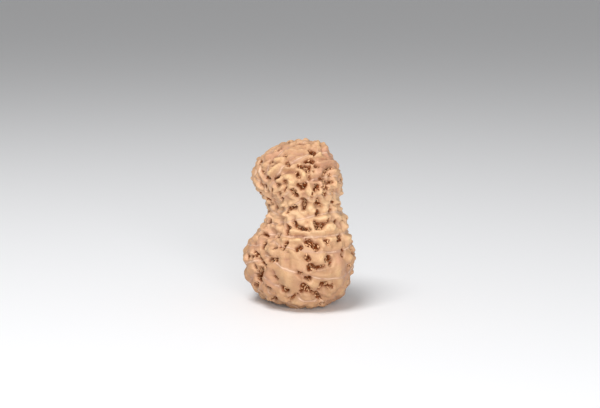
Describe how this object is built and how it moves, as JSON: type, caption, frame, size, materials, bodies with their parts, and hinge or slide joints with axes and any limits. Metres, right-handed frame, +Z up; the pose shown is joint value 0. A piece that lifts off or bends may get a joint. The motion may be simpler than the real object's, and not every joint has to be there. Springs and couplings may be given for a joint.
{
  "type": "rudraksha bead",
  "caption": "Dried stone of a rudraksha fruit standing on end: a waisted, slightly bent oval with side-by-side sutures and a raised net of ridges round dark pits.",
  "frame": {"origin": "centre of the bounding box's underside, on the surface that the bead stands on", "axes": "+Z up along the stone's length, +X to the right of its seen face, -Y towards the viewer of that face"},
  "size_m": [0.0218, 0.0224, 0.032],
  "materials": {
    "bark": "satin, smooth on the ridges and dark brown in the pits"
  },
  "bodies": {
    "root": {"rudraksha_bead": "bark"}
  },
  "joints": []
}
